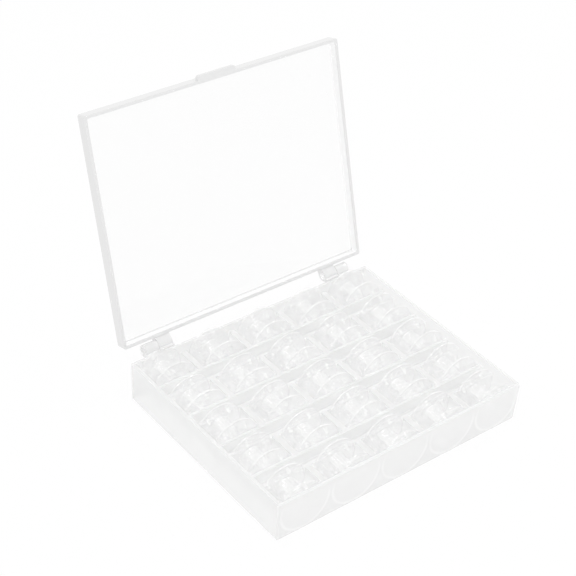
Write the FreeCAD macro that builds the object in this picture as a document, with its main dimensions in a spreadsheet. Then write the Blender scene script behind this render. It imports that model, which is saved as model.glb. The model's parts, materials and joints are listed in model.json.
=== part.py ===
# Clear moulded bobbin box: a tray of cradle cells, a hinged lid shown open, and one bobbin in every cell.
# Frame: millimetres, origin on the ground under the middle of the tray, +X along the hinge, +Y to the hinge.
import FreeCAD, Part
import os
import Sketcher
from FreeCAD import Placement, Rotation, Vector
from math import acos, atan2, cos, hypot, pi, sin, sqrt

os.makedirs("parts", exist_ok=True)
doc = FreeCAD.newDocument("bobbin_box")

columns = 5
rows = 5
thread_holes = 4
spin_step = 137.5  # degrees from one bobbin to the next, so that no two stand alike

# Sizes that can be set by themselves, in millimetres and degrees
driving = {
    "bobbin_diameter": 20.3,
    "bobbin_width": 11.7,
    "bobbin_bore": 6.1,
    "bobbin_hub": 8.6,
    "flange_edge": 0.9,
    "flange_root": 1.3,
    "flange_bevel": 0.25,
    "hole_diameter": 2.0,
    "hole_circle": 13.6,
    "cup_clearance": 0.85,
    "side_clearance": 0.5,
    "seat_gap": 0.2,
    "cup_floor": 1.0,
    "foot_depth": 0.4,
    "divider": 2.5,
    "row_gap": 7.7,
    "cell_wall": 1.3,
    "wall": 1.5,
    "corner_radius": 1.0,
    "draft_angle": 1.58,
    "rim_round": 0.35,
    "deck_drop": 3.8,
    "underside": 8.0,
    "channel_plate": 1.2,
    "channel_round": 0.8,
    "lid_depth": 5.1,
    "lid_plate": 1.3,
    "lid_wall": 1.3,
    "lid_clearance": 0.4,
    "lid_round": 0.5,
    "rim_gap": 0.1,
    "tab_width": 18.4,
    "tab_reach": 2.0,
    "tab_plate": 1.6,
    "tab_round": 1.2,
    "open_angle": 106.64,
    "hinge_offset": 3.5,
    "hinge_rise": 0.4,
    "hinge_reach": 40.0,
    "arm_width": 6.5,
    "arm_top": 0.9,
    "arm_foot": 1.0,
    "eye_radius": 2.2,
    "pin_radius": 1.2,
    "pin_clearance": 0.05,
    "knuckle_gap": 0.2,
    "barrel_width": 6.3,
    "barrel_radius": 2.3,
    "bracket_drop": 0.5,
    "bracket_height": 6.0,
    "stop_gap": 0.05,
    "stop_height": 2.0,
}

# What follows from them
derived = {
    "cup_radius": "dims.bobbin_diameter / 2 + dims.cup_clearance",
    "cup_outer": "cup_radius + dims.cup_floor + dims.foot_depth",
    "cup_centre": "dims.cup_floor + cup_radius",
    "cell_depth": "dims.bobbin_width + 2 * dims.side_clearance",
    "pitch_x": "2 * cup_radius + dims.divider",
    "pitch_y": "cell_depth + dims.row_gap",
    "span_x": f"{columns - 1} * pitch_x",
    "span_y": f"{rows - 1} * pitch_y",
    "inner_width": "span_x + 2 * cup_radius",
    "inner_depth": "span_y + cell_depth",
    "box_width": "inner_width + 2 * dims.wall",
    "box_depth": "inner_depth + 2 * dims.wall",
    "inner_corner": "max(dims.corner_radius - dims.wall; 0.5 * dims.corner_radius)",
    "bobbin_centre": "dims.cup_floor + dims.seat_gap + dims.bobbin_diameter / 2",
    "bobbin_top": "bobbin_centre + dims.bobbin_diameter / 2",
    "lid_top": "bobbin_top + dims.lid_clearance + dims.lid_plate",
    "rim_height": "lid_top - dims.lid_depth - dims.rim_gap",
    "deck_height": "rim_height - dims.deck_drop",
    "channel_depth": "deck_height - dims.underside - dims.channel_plate",
    "channel_width": "dims.row_gap - 2 * dims.cell_wall",
    "draft_inset": "rim_height * tan(dims.draft_angle)",
    "edge_round": "min(dims.rim_round; 0.7 * (dims.corner_radius - draft_inset))",
    "cup_length": "cell_depth + 2 * min(dims.cell_wall; 0.9 * (dims.wall - draft_inset))",
    "hinge_y": "box_depth / 2 + dims.hinge_offset",
    "hinge_z": "rim_height + dims.hinge_rise",
    "weld": "dims.wall / 3",
    "bracket_top": "dims.hinge_rise + dims.bracket_drop",
    "bracket_root": "dims.hinge_offset + weld",
    "bracket_foot": "bracket_top + dims.bracket_height",
    "barrel_start": "dims.hinge_reach + dims.arm_width + dims.knuckle_gap",
    "pin_length": "dims.arm_width + dims.knuckle_gap",
    "eye_bore": "dims.pin_radius + dims.pin_clearance",
    "lid_rim": "dims.rim_gap - dims.hinge_rise",
    "lid_y": "-hinge_y",
    "lid_inner_width": "box_width - 2 * dims.lid_wall",
    "lid_inner_depth": "box_depth - 2 * dims.lid_wall",
    "lid_inner_corner": "max(dims.corner_radius - dims.lid_wall; 0.5 * dims.corner_radius)",
    "lid_hollow": "dims.lid_depth - dims.lid_plate",
    "tab_root": "0.9 * dims.lid_wall",
    "tab_depth": "dims.tab_reach + tab_root",
    "tab_y": "-hinge_y - box_depth / 2 - (dims.tab_reach - tab_root) / 2",
    "arm_root": "dims.hinge_offset + dims.lid_wall / 3",
    "arm_high": "lid_rim + dims.lid_depth - dims.arm_top",
    "arm_low": "lid_rim + dims.arm_foot",
    "stop_reach": "dims.hinge_offset - dims.stop_gap",
    "half_bobbin": "dims.bobbin_width / 2",
    "flange_radius": "dims.bobbin_diameter / 2",
    "hub_radius": "dims.bobbin_hub / 2",
    "bore_radius": "dims.bobbin_bore / 2",
    "hole_place": "dims.hole_circle / 2",
    "hole_radius": "dims.hole_diameter / 2",
}


def fill(name, cells):
    sheet = doc.addObject("Spreadsheet::Sheet", name)
    for row, (alias, content) in enumerate(cells.items(), start=1):
        sheet.set(f"A{row}", alias)
        sheet.set(f"B{row}", content)
        sheet.setAlias(f"B{row}", alias)


fill("dims", {alias: str(number) for alias, number in driving.items()})
fill("layout", {alias: f"={formula}" for alias, formula in derived.items()})
doc.recompute()


def size(path):
    """The number in a cell, given as sheet.alias."""
    sheet, alias = path.split(".")
    return float(doc.getObject(sheet).get(alias))


def body(label):
    made = doc.addObject("PartDesign::Body", label)
    made.Label = label
    return made


def origin_part(owner, role):
    return next(f for f in owner.Origin.OriginFeatures if f.Role == role)


def sketch(owner, name, role, **shift):
    """A sketch on one of the body's own planes, shifted along the sketch's own axes by expressions."""
    made = owner.newObject("Sketcher::SketchObject", name)
    made.AttachmentSupport = [(origin_part(owner, role), "")]
    made.MapMode = "FlatFace"
    for axis, expression in shift.items():
        made.setExpression(f"AttachmentOffset.Base.{axis}", expression)
    return made


def rule(drawing, *terms):
    return drawing.addConstraint(Sketcher.Constraint(*terms))


def bind(drawing, expression, value, *terms):
    """A measured constraint that follows an expression on the sheets."""
    drawing.setExpression(f"Constraints[{rule(drawing, *terms, value)}]", expression)


def line(start, end):
    return Part.LineSegment(Vector(*start, 0), Vector(*end, 0))


def arc(centre, radius, start, end):
    return Part.ArcOfCircle(Part.Circle(Vector(*centre, 0), Vector(0, 0, 1), radius), start, end)


def outline(drawing, elements, smooth=()):
    """Adds lines and arcs, each (element, its last end), and joins them in turn, tangent at the smooth joints."""
    indices = [drawing.addGeometry(element, False) for element, _ in elements]
    ends = [end for _, end in elements]
    for place, index in enumerate(indices):
        after = (place + 1) % len(indices)
        joint = "Tangent" if place in smooth else "Coincident"
        rule(drawing, joint, index, ends[place], indices[after], 3 - ends[after])
    return indices


def circle(drawing, radius, x=None):
    """A circle at the sketch's origin, or at a distance along its horizontal axis."""
    place = size(x) if x else 0
    ring = Part.Circle(Vector(place, 0, 0), Vector(0, 0, 1), size(radius))
    index = drawing.addGeometry(ring, False)
    bind(drawing, radius, size(radius), "Radius", index)
    if x:
        rule(drawing, "PointOnObject", index, 3, -1)
        bind(drawing, x, place, "DistanceX", -1, 1, index, 3)
    else:
        rule(drawing, "Coincident", index, 3, -1, 1)


def rounded_rectangle(drawing, width, depth, radius):
    """Four sides joined by four corner arcs, centred on the sketch's origin."""
    r = size(radius)
    x, y = size(width) / 2 - r, size(depth) / 2 - r
    centres = [(x, y), (-x, y), (-x, -y), (x, -y)]
    arcs, sides = [], []
    for turn, (cx, cy) in enumerate(centres):
        out = (turn + 1) * pi / 2
        step = r * cos(out), r * sin(out)
        nx, ny = centres[(turn + 1) % 4]
        arcs.append(drawing.addGeometry(arc((cx, cy), r, out - pi / 2, out), False))
        side = line((cx + step[0], cy + step[1]), (nx + step[0], ny + step[1]))
        sides.append(drawing.addGeometry(side, False))
    for turn in range(4):
        rule(drawing, "Tangent", arcs[turn], 2, sides[turn], 1)
        rule(drawing, "Tangent", sides[turn], 2, arcs[(turn + 1) % 4], 1)
        rule(drawing, "Vertical" if turn % 2 else "Horizontal", sides[turn])
    for other in arcs[1:]:
        rule(drawing, "Equal", arcs[0], other)
    rule(drawing, "Symmetric", arcs[0], 3, arcs[2], 3, -1, 1)
    bind(drawing, radius, r, "Radius", arcs[0])
    bind(drawing, f"{width} - 2 * {radius}", 2 * x, "DistanceX", arcs[1], 3, arcs[0], 3)
    bind(drawing, f"{depth} - 2 * {radius}", 2 * y, "DistanceY", arcs[3], 3, arcs[0], 3)


def cradle(drawing):
    """One cell seen from the front: a round floor and straight sides up to the rim."""
    r, middle, top = size("layout.cup_radius"), size("layout.cup_centre"), size("layout.rim_height")
    floor, right, lid, left = outline(drawing, [
        (arc((0, middle), r, pi, 2 * pi), 2),
        (line((r, middle), (r, top)), 2),
        (line((r, top), (-r, top)), 2),
        (line((-r, top), (-r, middle)), 2),
    ], smooth=(0, 3))
    rule(drawing, "Vertical", right)
    rule(drawing, "Vertical", left)
    rule(drawing, "Horizontal", lid)
    rule(drawing, "PointOnObject", floor, 3, -2)
    bind(drawing, "layout.cup_radius", r, "Radius", floor)
    bind(drawing, "layout.cup_centre", middle, "DistanceY", -1, 1, floor, 3)
    bind(drawing, "layout.rim_height", top, "DistanceY", -1, 1, lid, 1)


def cup(drawing):
    """The outside of one cup seen from the front: a disc cut level at the ground and at the tray's ceiling."""
    r, middle, top = size("layout.cup_outer"), size("layout.cup_centre"), size("dims.underside")
    foot, brim = sqrt(r**2 - middle**2), sqrt(r**2 - (middle - top)**2)
    low, high = atan2(-middle, foot), atan2(top - middle, brim)
    right, ceiling, left, ground = outline(drawing, [
        (arc((0, middle), r, low, high), 2),
        (line((brim, top), (-brim, top)), 2),
        (arc((0, middle), r, pi - high, pi - low), 2),
        (line((-foot, 0), (foot, 0)), 2),
    ])
    rule(drawing, "Coincident", right, 3, left, 3)
    rule(drawing, "Equal", right, left)
    rule(drawing, "PointOnObject", right, 3, -2)
    rule(drawing, "Horizontal", ceiling)
    rule(drawing, "PointOnObject", ground, 1, -1)
    rule(drawing, "PointOnObject", ground, 2, -1)
    bind(drawing, "layout.cup_outer", r, "Radius", right)
    bind(drawing, "layout.cup_centre", middle, "DistanceY", -1, 1, right, 3)
    bind(drawing, "dims.underside", top, "DistanceY", -1, 1, ceiling, 1)


def touch(point, radius, side):
    """Where a line from a point touches a circle about the origin, on its left or right as side is 1 or -1."""
    turn = atan2(point[1], point[0]) + side * acos(radius / hypot(*point))
    return turn, (radius * cos(turn), radius * sin(turn))


def barrel(drawing):
    """Hinge barrel with the bracket that carries it on the back wall, seen along the hinge axis."""
    r, root = size("dims.barrel_radius"), size("layout.bracket_root")
    high, low = -size("layout.bracket_top"), -size("layout.bracket_foot")
    turn, meet = touch((-root, low), r, 1)
    start = atan2(high, -sqrt(r**2 - high**2)) + 2 * pi
    ledge, round_part, _, back = outline(drawing, [
        (line((-root, high), (-sqrt(r**2 - high**2), high)), 2),
        (arc((0, 0), r, turn + 2 * pi, start + 2 * pi), 1),
        (line(meet, (-root, low)), 2),
        (line((-root, low), (-root, high)), 2),
    ], smooth=(1,))
    rule(drawing, "Coincident", round_part, 3, -1, 1)
    rule(drawing, "Horizontal", ledge)
    rule(drawing, "Vertical", back)
    bind(drawing, "dims.barrel_radius", r, "Radius", round_part)
    bind(drawing, "layout.bracket_root", root, "DistanceX", ledge, 1, -1, 1)
    bind(drawing, "layout.bracket_top", -high, "DistanceY", ledge, 1, -1, 1)
    bind(drawing, "layout.bracket_foot", -low, "DistanceY", back, 1, -1, 1)


def arm(drawing):
    """Lid arm seen along the hinge axis: an eye on the pin and a strap to the lid's back wall."""
    r, root = size("dims.eye_radius"), size("layout.arm_root")
    high, low = size("layout.arm_high"), size("layout.arm_low")
    over, top = touch((-root, high), r, -1)
    under, bottom = touch((-root, low), r, 1)
    strap, eye, _, back = outline(drawing, [
        (line((-root, high), top), 2),
        (arc((0, 0), r, under, over + 2 * pi), 1),
        (line(bottom, (-root, low)), 2),
        (line((-root, low), (-root, high)), 2),
    ], smooth=(0, 1))
    rule(drawing, "Coincident", eye, 3, -1, 1)
    rule(drawing, "Vertical", back)
    bind(drawing, "dims.eye_radius", r, "Radius", eye)
    bind(drawing, "layout.arm_root", root, "DistanceX", strap, 1, -1, 1)
    bind(drawing, "layout.arm_high", high, "DistanceY", -1, 1, strap, 1)
    bind(drawing, "layout.arm_low", low, "DistanceY", -1, 1, back, 1)


def stop(drawing):
    """Heel of the lid arm, square to the wall that it comes to rest on when the lid stands open."""
    reach, height = size("layout.stop_reach"), size("dims.stop_height")
    top, back, foot, front = outline(drawing, [
        (line((-reach, 0), (0, 0)), 2),
        (line((0, 0), (0, -height)), 2),
        (line((0, -height), (-reach, -height)), 2),
        (line((-reach, -height), (-reach, 0)), 2),
    ])
    rule(drawing, "Coincident", top, 2, -1, 1)
    rule(drawing, "Horizontal", top)
    rule(drawing, "Horizontal", foot)
    rule(drawing, "Vertical", back)
    rule(drawing, "Vertical", front)
    bind(drawing, "layout.stop_reach", reach, "DistanceX", top, 1, top, 2)
    bind(drawing, "dims.stop_height", height, "DistanceY", back, 2, back, 1)


def spool(drawing):
    """Half section of a bobbin, radius across and axis up: bore, hub and a flange that thins to a bevelled edge."""
    half, rim = size("layout.half_bobbin"), size("layout.flange_radius")
    hub, bore, cut = size("layout.hub_radius"), size("layout.bore_radius"), size("dims.flange_bevel")
    edge, root = half - size("dims.flange_edge"), half - size("dims.flange_root")
    shoulder = edge - (edge - root) * cut / (rim - hub)
    corners = [(hub, 0), (hub, root), (rim - cut, shoulder), (rim, edge + cut), (rim, half - cut)]
    corners += [(rim - cut, half), (bore, half), (bore, 0)]
    sides = [(line(a, b), 2) for a, b in zip(corners, corners[1:] + corners[:1])]
    wall, slope, inside, side, outside, face, core, middle = outline(drawing, sides)
    corner = drawing.addGeometry(Part.Point(Vector(rim, edge, 0)), True)
    rule(drawing, "PointOnObject", corner, 1, slope)
    rule(drawing, "PointOnObject", corner, 1, side)
    for upright in (wall, side, core):
        rule(drawing, "Vertical", upright)
    rule(drawing, "Horizontal", face)
    rule(drawing, "Horizontal", middle)
    rule(drawing, "PointOnObject", middle, 1, -1)
    bind(drawing, "dims.flange_bevel", cut, "DistanceX", inside, 1, inside, 2)
    bind(drawing, "dims.flange_bevel", cut, "DistanceY", corner, 1, inside, 2)
    bind(drawing, "dims.flange_bevel", cut, "DistanceX", outside, 2, outside, 1)
    bind(drawing, "dims.flange_bevel", cut, "DistanceY", outside, 1, outside, 2)
    bind(drawing, "layout.bore_radius", bore, "DistanceX", -1, 1, middle, 1)
    bind(drawing, "layout.hub_radius", hub, "DistanceX", -1, 1, middle, 2)
    bind(drawing, "layout.flange_radius", rim, "DistanceX", -1, 1, corner, 1)
    bind(drawing, "layout.half_bobbin", half, "DistanceY", -1, 1, face, 2)
    bind(drawing, "layout.half_bobbin - dims.flange_root", root, "DistanceY", -1, 1, slope, 1)
    bind(drawing, "layout.half_bobbin - dims.flange_edge", edge, "DistanceY", -1, 1, corner, 1)


def extrude(owner, kind, name, drawing, length, reverse=False, both=False):
    """A Pad or Pocket of one sketch by an expression, to both sides of it where both is set."""
    made = owner.newObject(f"PartDesign::{kind}", name)
    made.Profile = drawing
    made.Type = "Length"
    made.setExpression("Length", length)
    made.Reversed = reverse
    made.Midplane = both
    return made


def line_pattern(owner, name, role, span, count):
    made = owner.newObject("PartDesign::LinearPattern", name)
    made.Direction = (origin_part(owner, role), [""])
    made.setExpression("Length", span)
    made.Occurrences = count
    return made


def grid(owner, name, feature):
    """Repeats a feature over the cells, from the front left one to the right and to the back."""
    made = owner.newObject("PartDesign::MultiTransform", name)
    made.Originals = [feature]
    across = line_pattern(owner, f"{name}_across", "X_Axis", "layout.span_x", columns)
    back = line_pattern(owner, f"{name}_back", "Y_Axis", "layout.span_y", rows)
    made.Transformations = [across, back]
    owner.Tip = made


def mirrored(owner, name, features, role="YZ_Plane"):
    made = owner.newObject("PartDesign::Mirrored", name)
    made.Originals = features
    made.MirrorPlane = (origin_part(owner, role), [""])
    owner.Tip = made


def round_edges(owner, name, feature, radius, chosen):
    """Fillets the edges of a feature whose middle point passes the test."""
    doc.recompute()
    edges = []
    for index, edge in enumerate(feature.Shape.Edges, start=1):
        middle = edge.valueAt((edge.FirstParameter + edge.LastParameter) / 2)
        if chosen(middle):
            edges.append(f"Edge{index}")
    made = owner.newObject("PartDesign::Fillet", name)
    made.Base = (feature, edges)
    made.setExpression("Radius", radius)


def near(first, second):
    return abs(first - second) < 1e-4


def make_tray():
    tray = body("base_tray")
    rim = sketch(tray, "rim_outline", "XY_Plane", z="layout.rim_height")
    rounded_rectangle(rim, "layout.box_width", "layout.box_depth", "dims.corner_radius")
    block = extrude(tray, "Pad", "tray_block", rim, "layout.rim_height", reverse=True)
    doc.recompute()
    sides = [f"Face{i}" for i, face in enumerate(block.Shape.Faces, start=1) if near(face.normalAt(0, 0).z, 0)]
    leaning = tray.newObject("PartDesign::Draft", "tray_draft")
    leaning.Base = (block, sides)
    leaning.NeutralPlane = (rim, [""])
    leaning.setExpression("Angle", "dims.draft_angle")
    leaning.Reversed = True
    top = size("layout.rim_height")
    round_edges(tray, "tray_edges", leaning, "layout.edge_round", lambda p: near(p.z, top) or near(p.z, 0))

    hollow = sketch(tray, "recess_outline", "XY_Plane", z="layout.rim_height")
    rounded_rectangle(hollow, "layout.inner_width", "layout.inner_depth", "layout.inner_corner")
    extrude(tray, "Pocket", "recess", hollow, "dims.deck_drop")

    under = sketch(tray, "underside_outline", "XY_Plane")
    rounded_rectangle(under, "layout.inner_width", "layout.inner_depth", "layout.inner_corner")
    extrude(tray, "Pocket", "underside_hollow", under, "dims.underside", reverse=True)

    first_cell = {"x": "-layout.span_x / 2", "z": "layout.span_y / 2"}
    shape = sketch(tray, "cup_outline", "XZ_Plane", **first_cell)
    cup(shape)
    grid(tray, "cups", extrude(tray, "Pad", "first_cup", shape, "layout.cup_length", both=True))
    cut = sketch(tray, "cell_outline", "XZ_Plane", **first_cell)
    cradle(cut)
    grid(tray, "cells", extrude(tray, "Pocket", "first_cell", cut, "layout.cell_depth", both=True))

    gap = sketch(tray, "channel_outline", "XY_Plane",
                 y="(layout.pitch_y - layout.span_y) / 2", z="layout.deck_height")
    rounded_rectangle(gap, "layout.inner_width", "layout.channel_width", "dims.channel_round")
    channel = extrude(tray, "Pocket", "first_channel", gap, "layout.channel_depth")
    channels = line_pattern(tray, "channels", "Y_Axis", "layout.span_y - layout.pitch_y", rows - 1)
    channels.Originals = [channel]
    tray.Tip = channels

    on_axis = {"x": "layout.hinge_y", "y": "layout.hinge_z"}
    side = sketch(tray, "barrel_outline", "YZ_Plane", **on_axis, z="layout.barrel_start")
    barrel(side)
    knuckle = extrude(tray, "Pad", "right_barrel", side, "dims.barrel_width")
    end = sketch(tray, "pin_outline", "YZ_Plane", **on_axis, z="layout.barrel_start")
    circle(end, "dims.pin_radius")
    pin = extrude(tray, "Pad", "right_pin", end, "layout.pin_length", reverse=True)
    mirrored(tray, "left_barrel", [knuckle, pin])
    return tray


def make_lid():
    """Drawn shut, about the hinge axis, and turned open by the body's placement."""
    lid = body("lid")
    place = {"y": "layout.lid_y", "z": "layout.lid_rim"}
    outside = sketch(lid, "lid_outline", "XY_Plane", **place)
    rounded_rectangle(outside, "layout.box_width", "layout.box_depth", "dims.corner_radius")
    block = extrude(lid, "Pad", "lid_block", outside, "dims.lid_depth")
    top = size("layout.lid_rim") + size("dims.lid_depth")
    round_edges(lid, "lid_edges", block, "dims.lid_round", lambda p: near(p.z, top))
    inside = sketch(lid, "lid_hollow_outline", "XY_Plane", **place)
    rounded_rectangle(inside, "layout.lid_inner_width", "layout.lid_inner_depth", "layout.lid_inner_corner")
    extrude(lid, "Pocket", "lid_hollow", inside, "layout.lid_hollow", reverse=True)

    tongue = sketch(lid, "tab_outline", "XY_Plane", y="layout.tab_y", z="layout.lid_rim")
    rounded_rectangle(tongue, "dims.tab_width", "layout.tab_depth", "dims.tab_round")
    extrude(lid, "Pad", "thumb_tab", tongue, "dims.tab_plate")

    side = sketch(lid, "arm_outline", "YZ_Plane", z="dims.hinge_reach")
    arm(side)
    strap = extrude(lid, "Pad", "right_arm", side, "dims.arm_width")
    bearing = sketch(lid, "stop_outline", "YZ_Plane", z="dims.hinge_reach")
    bearing.AttachmentOffset = Placement(Vector(), Rotation(Vector(0, 0, 1), size("dims.open_angle")))
    bearing.setExpression("AttachmentOffset.Rotation.Angle", "dims.open_angle")
    stop(bearing)
    heel = extrude(lid, "Pad", "right_stop", bearing, "dims.arm_width")
    hole = sketch(lid, "eye_outline", "YZ_Plane", z="dims.hinge_reach")
    circle(hole, "layout.eye_bore")
    eye = extrude(lid, "Pocket", "right_eye", hole, "dims.arm_width", reverse=True)
    mirrored(lid, "left_arm", [strap, heel, eye])

    lid.Placement = Placement(Vector(), Rotation(Vector(-1, 0, 0), size("dims.open_angle")))
    lid.setExpression("Placement.Base.y", "layout.hinge_y")
    lid.setExpression("Placement.Base.z", "layout.hinge_z")
    lid.setExpression("Placement.Rotation.Angle", "dims.open_angle")
    return lid


def make_bobbin(label):
    """A spool turned about its own Y axis, with thread holes through both flanges."""
    bobbin = body(label)
    section = sketch(bobbin, "bobbin_section", "XY_Plane")
    spool(section)
    turned = bobbin.newObject("PartDesign::Revolution", "half_spool")
    turned.Profile = section
    turned.ReferenceAxis = (section, ["V_Axis"])
    turned.Angle = 360
    mirrored(bobbin, "spool", [turned], "XZ_Plane")
    mark = sketch(bobbin, "thread_hole_outline", "XZ_Plane")
    circle(mark, "layout.hole_radius", x="layout.hole_place")
    hole = extrude(bobbin, "Pocket", "thread_hole", mark, "2 * dims.bobbin_width", both=True)
    ring = bobbin.newObject("PartDesign::PolarPattern", "thread_holes")
    ring.Originals = [hole]
    ring.Axis = (origin_part(bobbin, "Y_Axis"), [""])
    ring.Angle = 360
    ring.Occurrences = thread_holes
    bobbin.Tip = ring
    return bobbin


def stand(item, row, column):
    """Puts a bobbin on its edge in one cell, row 1 at the front and column 1 at the left."""
    spin = spin_step * (row * columns + column) % 360
    item.Placement = Placement(Vector(), Rotation(Vector(0, 1, 0), spin))
    item.setExpression("Placement.Base.x", f"{column - 1} * layout.pitch_x - layout.span_x / 2")
    item.setExpression("Placement.Base.y", f"{row - 1} * layout.pitch_y - layout.span_y / 2")
    item.setExpression("Placement.Base.z", "layout.bobbin_centre")


def make_bobbins():
    """One modelled bobbin and links to it, one for each cell."""
    made = []
    for row in range(1, rows + 1):
        for column in range(1, columns + 1):
            label = f"bobbin_r{row}c{column}"
            if made:
                item = doc.addObject("App::Link", label)
                item.LinkedObject = made[0]
                item.Label = label
            else:
                item = make_bobbin(label)
            stand(item, row, column)
            made.append(item)
    return made


def check():
    """Stops on a failed object, or on a feature that adds or removes nothing."""
    for item in doc.Objects:
        if "Invalid" in item.State or "Error" in item.State:
            raise RuntimeError(f"{item.Label} failed: {item.State}")
        base = getattr(item, "BaseFeature", None)
        if base and near(item.Shape.Volume, base.Shape.Volume):
            raise RuntimeError(f"{item.Label} leaves its body as it was")


pieces = [make_tray(), make_lid()] + make_bobbins()
doc.recompute()
check()
for piece in pieces:
    shape = Part.getShape(piece)
    if shape.isNull() or not shape.isValid() or len(shape.Solids) != 1:
        raise RuntimeError(f"{piece.Label} is not one valid solid")
    shape.exportStep(f"parts/{piece.Label}.step")
    print(piece.Label, round(shape.Volume, 1), "mm3")
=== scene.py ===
import json
import math
import bpy
import numpy as np
from mathutils import Matrix, Vector


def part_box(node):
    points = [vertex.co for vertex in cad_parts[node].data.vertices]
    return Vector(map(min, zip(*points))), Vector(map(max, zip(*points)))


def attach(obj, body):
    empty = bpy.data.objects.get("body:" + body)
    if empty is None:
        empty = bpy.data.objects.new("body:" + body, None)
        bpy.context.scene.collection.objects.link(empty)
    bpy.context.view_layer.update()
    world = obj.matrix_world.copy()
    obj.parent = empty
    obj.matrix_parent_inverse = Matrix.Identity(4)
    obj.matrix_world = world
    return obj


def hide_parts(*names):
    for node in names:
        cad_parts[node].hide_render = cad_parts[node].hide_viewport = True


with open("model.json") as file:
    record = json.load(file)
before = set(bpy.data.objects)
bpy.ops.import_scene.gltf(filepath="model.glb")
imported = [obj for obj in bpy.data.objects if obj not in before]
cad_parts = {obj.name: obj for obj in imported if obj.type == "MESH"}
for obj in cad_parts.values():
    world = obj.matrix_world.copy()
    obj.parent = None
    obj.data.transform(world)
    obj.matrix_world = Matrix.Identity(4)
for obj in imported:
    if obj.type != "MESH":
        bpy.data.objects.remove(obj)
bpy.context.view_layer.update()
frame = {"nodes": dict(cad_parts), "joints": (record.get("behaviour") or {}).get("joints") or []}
scene = bpy.context.scene
white = (1, 1, 1, 1)
trayLow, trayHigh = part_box("base_tray")
hinge = Vector(next(joint["pos_m"] for joint in frame["joints"] if joint["name"] == "lid_hinge"))
seats = {name: sum(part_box(name), Vector()) / 2 for name in frame["nodes"] if name.startswith("bobbin")}
pitch = seats["bobbin_r2c2"] - seats["bobbin_r1c1"]
print("frame loaded:", len(frame["nodes"]), "nodes,", len(seats), "of them bobbins")


class Wire:  # a shader socket that takes part in Python sums, each sum adding its Math node
    def __init__(self, tree, socket=None):
        self.tree = tree
        self.socket = socket

    def node(self, kind, settings=None, sockets=None, out=0):
        made = self.tree.nodes.new(kind)
        for name, value in (settings or {}).items():
            setattr(made, name, value)
        for name, value in (sockets or {}).items():
            if isinstance(value, Wire):
                self.tree.links.new(value.socket, made.inputs[name])
            else:
                made.inputs[name].default_value = value
        return Wire(self.tree, made.outputs[out] if made.outputs else None)

    def maths(self, operation, first, second=0.0):
        return self.node("ShaderNodeMath", {"operation": operation}, {0: first, 1: second})

    def __add__(self, other):
        return self.maths("ADD", self, other)

    def __sub__(self, other):
        return self.maths("SUBTRACT", self, other)

    def __rsub__(self, other):
        return self.maths("SUBTRACT", other, self)

    def __mul__(self, other):
        return self.maths("MULTIPLY", self, other)

    __radd__ = __add__
    __rmul__ = __mul__


# Clear moulded plastic, with scales per metre and lengths in metres. Of the light that meets a wall, milk
# is the share that its haze scatters and bend the share that it refracts as a thick piece does. The rest
# goes straight on.
plastic = {
    "index": 1.5, "hazeDetail": 3.0, "flowDetail": 1.0, "noiseMiddle": 0.5,
    "scuffDetail": 2.0, "scuffStretch": (0.25, 1.0, 1.0), "scuffFrom": 0.55,  # noise above this level scuffs
    "slant": 0.5, "slantPower": 5.0,  # how the mirror grows towards a glancing angle
}
trayFinish = {
    "pale": (0.95, 0.95, 0.95), "grey": (0.84, 0.84, 0.84), "hazeScale": 60, "hazeGrey": 0.15,
    "milk": 0.42, "milkSpread": 0.06, "bend": 0.0, "gloss": 0.03, "glance": 0.30,
    "polish": 0.03, "scuff": 0.25, "scuffScale": 900, "ripple": 0.00002, "rippleScale": 45,
    "wall": 0.0016, "edge": 0.0005,  # the outer walls, and the width over which their zone fades
    "deck": 0.0150, "bottom": 0.003, "bottomPaintedShade": 0.22,  # heights where a cell's painted shade leaves it pale and makes it grey
    "cup": (0.0108, 0.0118), "cupEdge": 0.0006, "cupAxis": 0.0120,  # a cup's wall, from radius to radius
    "cupMilk": 0.06, "cupFade": (0.006, -0.002),  # its ring grows from the upper height to the lower
    "gapPaintedShade": 0.40, "gapFade": (0.0, -0.004),  # painted shade in the hollow outside the cups, heights over their axis
    "endMilk": 0.22, "endGrey": 0.10,  # the front and back walls
    "row": 0.0076, "rowEdge": 0.0004, "channelMilk": -0.14,  # channels lie this far from a row's middle
    "knuckle": (0.0001, 0.0005), "knuckleMilk": 0.40, "knucklePaintedShade": 0.45,  # barrels, behind the back wall, greyed with painted shade
    "pin": 0.0013, "pinEdge": 0.0003, "pinMilk": -0.40,  # stub pins stay clear, or the lid's eyes look black
}
lidFinish = {
    "pale": (1.0, 1.0, 1.0), "grey": (0.82, 0.82, 0.82), "hazeScale": 40, "hazeGrey": 0.10,
    "milk": 0.07, "milkSpread": 0.02, "bend": 0.0, "gloss": 0.03, "glance": 0.30,
    "polish": 0.03, "scuff": 0.20, "scuffScale": 700, "ripple": 0.00002, "rippleScale": 30,
    "lean": 16.64,  # degrees from upright at rest
    "reach": 0.05215, "halfReach": 0.0486,  # hinge to the skirt's middle, and half its length
    "wall": 0.0013, "inner": (-1.25, -1.1), "outer": (-0.65, -0.35),  # in walls from the skirt's outer face
    "lip": -0.0001, "plate": 0.0037, "back": 0.0048,  # outward from the hinge
    "edge": 0.0005,  # width over which the zones of the lip and the arms fade
    "fade": 0.35, "stripFade": 0.60,  # shares by which the outer and the inner haze thin towards the back
    # painted light: the near-opaque white haze inside the skirt, and the arms made paler; painted shade: the
    # grey outside
    "innerPaintedLight": 0.97, "outerMilk": 0.90, "outerPaintedShade": 0.90, "armPaintedLight": 0.08, "plateGrey": 0.35,
    "root": (0.0008, 0.0004), "rootReach": (2.0, 1.5),  # the painted shade line at the back skirt's root: from the plate, and in walls
    "bore": 0.0013, "boreEdge": 0.0003,  # the eyes round the stub pins stay clear
}
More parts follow.
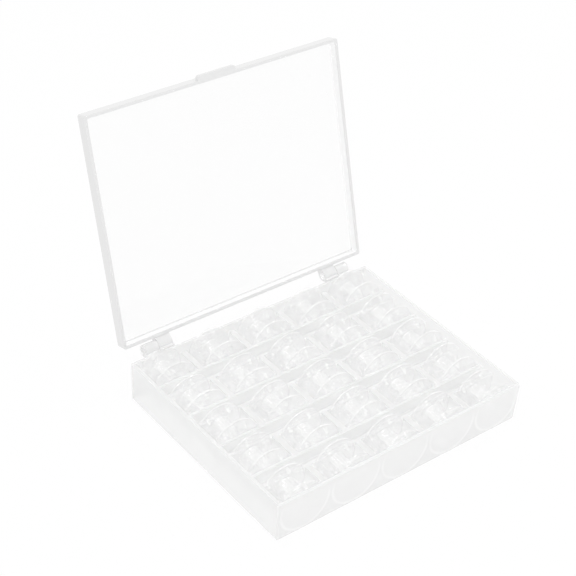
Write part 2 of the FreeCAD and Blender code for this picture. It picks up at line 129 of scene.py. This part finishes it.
bobbinFinish = {
    "pale": (1.0, 1.0, 1.0), "grey": (0.98, 0.98, 0.98), "hazeScale": 150,
    "milk": 0.12, "milkSpread": 0.06, "bend": 0.12, "gloss": 0.12, "glance": 0.20,
    "polish": 0.03, "scuff": 0.20, "scuffScale": 1200, "ripple": 0.00006, "rippleScale": 300,
}


def clearPlastic(name, finish, zones=None):
    material = bpy.data.materials.new(name)
    material.use_nodes = True
    material.node_tree.nodes.clear()
    start = Wire(material.node_tree)
    place = start.node("ShaderNodeTexCoord", out="Object")

    def noise(vector, scale, detail):
        return start.node("ShaderNodeTexNoise", sockets={"Vector": vector, "Scale": scale, "Detail": detail})

    haze = noise(place, finish["hazeScale"], plastic["hazeDetail"])
    drawn = start.node("ShaderNodeMapping", sockets={"Vector": place, "Scale": plastic["scuffStretch"]})
    scuffs = noise(drawn, finish["scuffScale"], plastic["scuffDetail"])
    flow = noise(place, finish["rippleScale"], plastic["flowDetail"])
    cloud = finish["milk"] + (haze - plastic["noiseMiddle"]) * finish["milkSpread"]
    shade = haze
    if zones:
        shade, more = zones(start, place, haze)
        cloud = cloud + more
    tint = start.node("ShaderNodeMix", {"data_type": "RGBA"},
                      {0: shade, 6: (*finish["pale"], 1), 7: (*finish["grey"], 1)}, out=2)
    rough = finish["polish"] + start.maths("MAXIMUM", scuffs - plastic["scuffFrom"]) * finish["scuff"]
    relief = start.node("ShaderNodeBump",
                        sockets={"Height": flow, "Strength": 1.0, "Distance": finish["ripple"]})
    straight = start.node("ShaderNodeBsdfTransparent", sockets={"Color": white})
    milk = start.node("ShaderNodeBsdfPrincipled", sockets={
        "Base Color": tint, "Roughness": rough, "IOR": plastic["index"], "Normal": relief})
    skin = start.node("ShaderNodeMixShader", sockets={0: cloud, 1: straight, 2: milk})
    if finish["bend"]:
        thick = start.node("ShaderNodeBsdfPrincipled", sockets={
            "Base Color": white, "Roughness": rough, "IOR": plastic["index"],
            "Transmission Weight": 1.0, "Normal": relief})
        skin = start.node("ShaderNodeMixShader", sockets={0: finish["bend"], 1: skin, 2: thick})
    mirror = start.node("ShaderNodeBsdfAnisotropic", sockets={
        "Color": white, "Roughness": rough, "Normal": relief})
    slant = start.node("ShaderNodeLayerWeight", sockets={"Blend": plastic["slant"]}, out="Facing")
    shine = finish["gloss"] + start.maths("POWER", slant, plastic["slantPower"]) * finish["glance"]
    skin = start.node("ShaderNodeMixShader", sockets={0: shine, 1: skin, 2: mirror})
    start.node("ShaderNodeOutputMaterial", sockets={"Surface": skin})
    return material


def ramp(start, value, low, high):
    # smooth step from 0 at low to 1 at high
    return start.node("ShaderNodeMapRange", {"interpolation_type": "SMOOTHSTEP"},
                      {"Value": value, "From Min": low, "From Max": high})


def absolute(start, value):
    return start.maths("ABSOLUTE", value)


def nearest(start, value, pitch):
    # distance to the nearest multiple of the pitch
    return absolute(start, value - start.maths("ROUND", value * (1 / pitch)) * pitch)


def distance(start, a, b):
    # square root of a squared plus b squared
    return start.maths("SQRT", a * a + b * b)


def trayZones(start, place, haze):
    # cells deepen to grey with painted shade, channels are clearer, the cups' walls show as rings in the
    # front and back walls with painted shade in the hollow below them, the hinge barrels are milky and
    # greyed with painted shade, and their stub pins clear
    f = trayFinish
    x, y, z = (start.node("ShaderNodeSeparateXYZ", sockets={0: place}, out=axis) for axis in "XYZ")
    front, side = -trayLow.y, trayHigh.x
    pin = ramp(start, distance(start, y - hinge.y, z - hinge.z), f["pin"] + f["pinEdge"], f["pin"])
    knuckle = ramp(start, y, front + f["knuckle"][0], front + f["knuckle"][1]) * (1 - pin)
    inFront, inSide = front - f["wall"], side - f["wall"]
    ends = ramp(start, absolute(start, y), inFront, inFront + f["edge"]) - knuckle
    inside = ramp(start, absolute(start, x), inSide, inSide - f["edge"]) * (1 - ends)
    channel = ramp(start, nearest(start, y, pitch.y), f["row"], f["row"] + f["rowEdge"]) * inside
    above = z - f["cupAxis"]
    radius = distance(start, nearest(start, x, pitch.x), above)
    bore, outside = (ramp(start, radius, r - f["cupEdge"], r + f["cupEdge"]) for r in f["cup"])
    ring = (bore - outside) * ramp(start, above, *f["cupFade"])
    # painted shade in the hollow outside the cups and below their axis, seen through the end walls
    gap = outside * ramp(start, above, *f["gapFade"])
    # painted shade, darker towards the bottom of each cell, none in the channels and the front and back
    # walls
    paintedCellShade = ramp(start, z, f["deck"], f["bottom"]) * (1 - channel) * (1 - ends)
    shade = haze * f["hazeGrey"] + paintedCellShade * f["bottomPaintedShade"]
    # painted shade in the hollow below the cups and on the hinge barrels
    shade = shade + ends * (gap * f["gapPaintedShade"] + f["endGrey"]) + knuckle * f["knucklePaintedShade"]
    more = ends * (ring * f["cupMilk"] + f["endMilk"]) + channel * f["channelMilk"]
    return shade, more + knuckle * f["knuckleMilk"] + pin * f["pinMilk"]


def lidZones(start, place, haze):
    # the skirt's inside is near-opaque white, painted light, with a painted shade line along the back
    # skirt's root; its outside, its lip, the tab and the arms are grey with painted shade, lessened on the
    # arms by painted light, and the eyes clear
    f = lidFinish
    lean = math.radians(f["lean"])

    def along(way):  # distance from the hinge along a direction
        reach = start.node("ShaderNodeVectorMath", {"operation": "DOT_PRODUCT"},
                           {0: place, 1: way}, out="Value")
        return reach - hinge.dot(way)

    side = along(Vector((1, 0, 0)))
    rise = along(Vector((0, math.sin(lean), math.cos(lean))))
    outward = along(Vector((0, math.cos(lean), -math.sin(lean))))
    away = start.maths("MAXIMUM", absolute(start, side) - trayHigh.x,
                       absolute(start, rise - f["reach"]) - f["halfReach"])  # 0 at the skirt's outer face
    facing = 1 - start.node("ShaderNodeNewGeometry", out="Backfacing")  # or the walls look dark from within
    strip = 1 - ramp(start, outward, f["plate"], f["back"]) * f["stripFade"]
    inner = ramp(start, away, *(k * f["wall"] for k in f["inner"])) * strip
    lip = ramp(start, outward, f["lip"] + f["edge"], f["lip"])
    outer = start.maths("MAXIMUM", ramp(start, away, *(k * f["wall"] for k in f["outer"])), lip)
    low = f["reach"] - f["halfReach"]  # the back skirt's outer face
    arms = ramp(start, rise, low, low - f["edge"])
    # a painted shade line along the back skirt's root
    root = inner * ramp(start, outward, *(f["plate"] - k for k in f["root"]))
    root = root * ramp(start, rise, *(low + k * f["wall"] for k in f["rootReach"]))
    thin = 1 - ramp(start, outward, f["lip"], f["back"]) * f["fade"]
    eye = ramp(start, distance(start, rise, outward), f["bore"], f["bore"] + f["boreEdge"])
    plain = (1 - inner) * (1 - outer)
    # painted shade on the skirt's outside, lip, tab and arms, lessened on the arms by painted light
    shade = haze * f["hazeGrey"] + outer * f["outerPaintedShade"] - arms * f["armPaintedLight"]
    # near-opaque white haze inside the skirt, as painted light
    more = start.maths("MAXIMUM", inner * f["innerPaintedLight"], outer * thin * f["outerMilk"])
    return shade + plain * f["plateGrey"] + root, more * facing * eye


def dress(obj, material):
    obj.data.materials.clear()
    obj.data.materials.append(material)


dress(frame["nodes"]["base_tray"], clearPlastic("trayPlastic", trayFinish, trayZones))
dress(frame["nodes"]["lid"], clearPlastic("lidPlastic", lidFinish, lidZones))
print("tray and lid dressed")

bobbin = {
    "spinStep": 137.5, "columns": 5,  # degrees from one bobbin to the next, along the rows
    "radius": 0.01015, "half": 0.00585, "hub": 0.0043, "bore": 0.00305,
    "edge": 0.0009, "root": 0.0013,  # flange thickness at its edge and at the hub
    "round": 0.00032, "fillet": 0.0004,
    "holes": 4, "holeRadius": 0.001, "holeCircle": 0.0068,
    "steps": 16, "rings": 5,  # grid steps along each side of a flange sector, and rings round its hole
    "edgeSteps": 7, "filletSteps": 6,  # points on each rounded corner
    "sharp": 35,  # degrees between faces that meet in a sharp edge
    "weld": 1e6,  # points per metre of the grid on which points that meet are merged
}


def faces(rows, columns, first):
    # quads of a rows x columns grid of points, the last column joined to the first
    i, j = np.meshgrid(np.arange(rows - 1), np.arange(columns), indexing="ij")
    a, b = i * columns + j, i * columns + (j + 1) % columns
    return first + np.stack([a, b, b + columns, a + columns], axis=-1).reshape(-1, 4)


def turn(profile, count):
    # a surface of revolution: (r, y) of the profile turned about Y, point = (r sin t, y, r cos t), where t
    # starts at a side of a flange sector, so that the points of both meet
    t = np.arange(count) * 2 * np.pi / count + np.pi / bobbin["holes"]
    r, y = profile[:, :1], profile[:, 1:]
    return np.stack([r * np.sin(t), np.broadcast_to(y, (len(profile), count)), r * np.cos(t)], axis=-1)


def sector(low, high, level, angle):
    # a flange sector round its thread hole: straight lines from the hole's circle to the sector's four sides
    n, m = bobbin["steps"], bobbin["rings"]
    halfSector = np.pi / bobbin["holes"]
    s = np.arange(n) / n
    t = np.concatenate([-halfSector + 2 * halfSector * s, np.full(n, halfSector),
                        halfSector - 2 * halfSector * s, np.full(n, -halfSector)])
    r = np.concatenate([np.full(n, high), high + (low - high) * s, np.full(n, low), low + (high - low) * s])
    side = np.stack([r * np.sin(t), r * np.cos(t)], axis=-1)
    middle = np.array((0, bobbin["holeCircle"]))
    away = side - middle
    hole = middle + bobbin["holeRadius"] * away / np.linalg.norm(away, axis=-1, keepdims=True)
    v = np.linspace(0, 1, m)[:, None, None]
    flat = hole * (1 - v) + side * v
    x = flat[..., 0] * np.cos(angle) + flat[..., 1] * np.sin(angle)
    z = flat[..., 1] * np.cos(angle) - flat[..., 0] * np.sin(angle)
    return np.stack([x, level(np.hypot(x, z)), z], axis=-1)


def spoolGrids():
    # one half (y > 0) as grids: core, hub and edge by revolution, flange faces by sectors
    b = bobbin
    lean = math.atan2(b["root"] - b["edge"], b["radius"] - b["hub"])

    def inside(r):  # height of a flange's inner face, which leans from its root to its edge
        return b["half"] - b["root"] + (r - b["hub"]) * math.tan(lean)

    def outside(r):
        return np.full_like(r, b["half"])

    rim = b["radius"] - b["round"]
    tip = rim + b["round"] * math.sin(lean)
    low = inside(rim) + b["round"] / math.cos(lean)  # middles of the two arcs of the edge
    high = b["half"] - b["round"]
    c = np.linspace(lean - np.pi / 2, 0, b["edgeSteps"])
    a = np.linspace(0, np.pi / 2, b["edgeSteps"])[::-1]
    edge = np.concatenate([
        np.stack([rim + b["round"] * np.cos(c), low + b["round"] * np.sin(c)], axis=-1),
        np.stack([rim + b["round"] * np.sin(a), high + b["round"] * np.cos(a)], axis=-1),
    ])
    inner, outer = b["hub"] + b["fillet"], b["bore"] + b["fillet"]
    f = np.linspace(0, np.pi / 2, b["filletSteps"])
    across, deep = b["fillet"] * np.sin(f), b["fillet"] * (1 - np.cos(f))
    web = np.stack([inner - across, inside(inner) - deep], axis=-1)
    hub = np.concatenate([web, [[b["hub"], 0.0]]])
    lip = np.stack([outer - across, b["half"] - deep], axis=-1)
    core = np.concatenate([lip, [[b["bore"], 0.0]]])
    count = b["holes"] * b["steps"]
    grids = [turn(edge, count), turn(hub, count)[::-1], turn(core, count)]
    for k in range(b["holes"]):
        angle = k * 2 * np.pi / b["holes"]
        under = sector(inner, tip, inside, angle)
        over = sector(outer, rim, outside, angle)
        grids += [under, over[::-1], np.stack([over[0], under[0]])]
    return grids


def spoolMesh():
    # every grid and its mirror image in y, as one list of points and one of quads
    points, quads, first = [], [], 0
    for grid in spoolGrids():
        for shape in (grid, grid[::-1] * (1, -1, 1)):
            points.append(shape.reshape(-1, 3))
            quads.append(faces(shape.shape[0], shape.shape[1], first))
            first += shape.shape[0] * shape.shape[1]
    return np.concatenate(points), np.concatenate(quads)


def weld(points, quads):
    # merges the points that fall on the same point of a fine grid
    spots = np.round(points * bobbin["weld"]).astype(np.int64)
    _, keep, back = np.unique(spots, axis=0, return_index=True, return_inverse=True)
    return points[keep], back.reshape(-1)[quads]


spoolPoints, spoolQuads = weld(*spoolMesh())
bobbinPlastic = clearPlastic("bobbinPlastic", bobbinFinish)
for node, seat in seats.items():
    row, column = int(node[-3]), int(node[-1])  # as in bobbin_r2c4
    spin = math.radians(bobbin["spinStep"] * (row * bobbin["columns"] + column) % 360)
    place = np.array(Matrix.Rotation(spin, 3, "Y"))
    mesh = bpy.data.meshes.new(node.replace("bobbin", "spool"))
    mesh.from_pydata(spoolPoints @ place.T + np.array(seat), [], spoolQuads.tolist())
    mesh.update()
    mesh.polygons.foreach_set("use_smooth", np.ones(len(mesh.polygons), bool))
    mesh.set_sharp_from_angle(angle=math.radians(bobbin["sharp"]))
    spool = bpy.data.objects.new(mesh.name, mesh)
    scene.collection.objects.link(spool)
    dress(spool, bobbinPlastic)
    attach(spool, node)
    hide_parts(node)
print("bobbins made:", len(spoolPoints), "points each")


def seen(start):
    # 1 for rays from the camera, in reflections and through clear walls
    camera, glossy, through = (start.node("ShaderNodeLightPath", out=f"Is {kind} Ray")
                               for kind in ("Camera", "Glossy", "Transmission"))
    return start.maths("MAXIMUM", start.maths("MAXIMUM", camera, glossy), through)


stage = {"floor": 6.0, "colour": (1.0, 1.0, 1.0), "ground": -0.0002, "even": 0.94}  # even: shadowless share
mesh = bpy.data.meshes.new("floor")
half = stage["floor"] / 2
corners = [(-half, -half), (half, -half), (half, half), (-half, half)]
mesh.from_pydata([(x, y, stage["ground"]) for x, y in corners], [], [(0, 1, 2, 3)])
floor = bpy.data.objects.new("floor", mesh)
scene.collection.objects.link(floor)
paper = bpy.data.materials.new("paper")
paper.use_nodes = True
paper.node_tree.nodes.clear()
start = Wire(paper.node_tree)
diffuse = start.node("ShaderNodeBsdfDiffuse", sockets={"Color": (*stage["colour"], 1)})
plain = start.node("ShaderNodeEmission", sockets={"Color": (*stage["colour"], 1)})
ground = start.node("ShaderNodeMixShader", sockets={0: seen(start) * stage["even"], 1: diffuse, 2: plain})
start.node("ShaderNodeOutputMaterial", sockets={"Surface": ground})
dress(floor, paper)

light = {"sky": 0.85, "lamp": 8.5, "size": 0.10,
         "lamps": [(-0.40, -0.30, 0.60), (0.40, 0.05, 0.62), (-0.10, 0.20, 0.75), (0.05, -0.40, 0.65)]}
world = bpy.data.worlds.new("studio")
scene.world = world
world.use_nodes = True
world.node_tree.nodes.clear()
start = Wire(world.node_tree)
sky = start.node("ShaderNodeBackground", sockets={
    "Color": white, "Strength": light["sky"] + seen(start) * (1 - light["sky"])})
start.node("ShaderNodeOutputWorld", sockets={"Surface": sky})
for k, spot in enumerate(light["lamps"]):
    lamp = bpy.data.objects.new(f"lamp{k}", bpy.data.lights.new(f"lamp{k}", "AREA"))
    lamp.data.size = light["size"]
    lamp.data.energy = light["lamp"] * light["size"] ** 2 * math.pi  # watts of a square of that radiance
    lamp.location = spot
    lamp.rotation_euler = Vector(spot).to_track_quat("Z", "Y").to_euler()
    scene.collection.objects.link(lamp)
scene.cycles.max_bounces = 40
scene.cycles.transparent_max_bounces = 128
scene.cycles.glossy_bounces = 16
scene.cycles.transmission_bounces = 40
scene.cycles.diffuse_bounces = 16
scene.cycles.blur_glossy = 0
print("stage and light set")

lens = {"azimuth": -40.703, "elevation": 36.372, "roll": 4.546, "distance": 0.903573,
        "target": (0.15447, 0.207329, -0.13096), "focal": 94.97, "sensor": 36}
azimuth, elevation, roll = (math.radians(lens[k]) for k in ("azimuth", "elevation", "roll"))
flat = math.cos(elevation)
back = Vector((math.sin(azimuth) * flat, -math.cos(azimuth) * flat, math.sin(elevation)))
level = Vector((math.cos(azimuth), math.sin(azimuth), 0))
upright = back.cross(level)
right = level * math.cos(roll) + upright * math.sin(roll)
up = upright * math.cos(roll) - level * math.sin(roll)
camera = bpy.data.objects.new("camera", bpy.data.cameras.new("camera"))
camera.data.lens = lens["focal"]
camera.data.sensor_width = lens["sensor"]
camera.matrix_world = Matrix.Translation(Vector(lens["target"]) + back * lens["distance"]) @ Matrix(
    (right, up, back)).transposed().to_4x4()
scene.collection.objects.link(camera)
scene.camera = camera
scene.view_settings.view_transform = "Standard"
print("camera set")
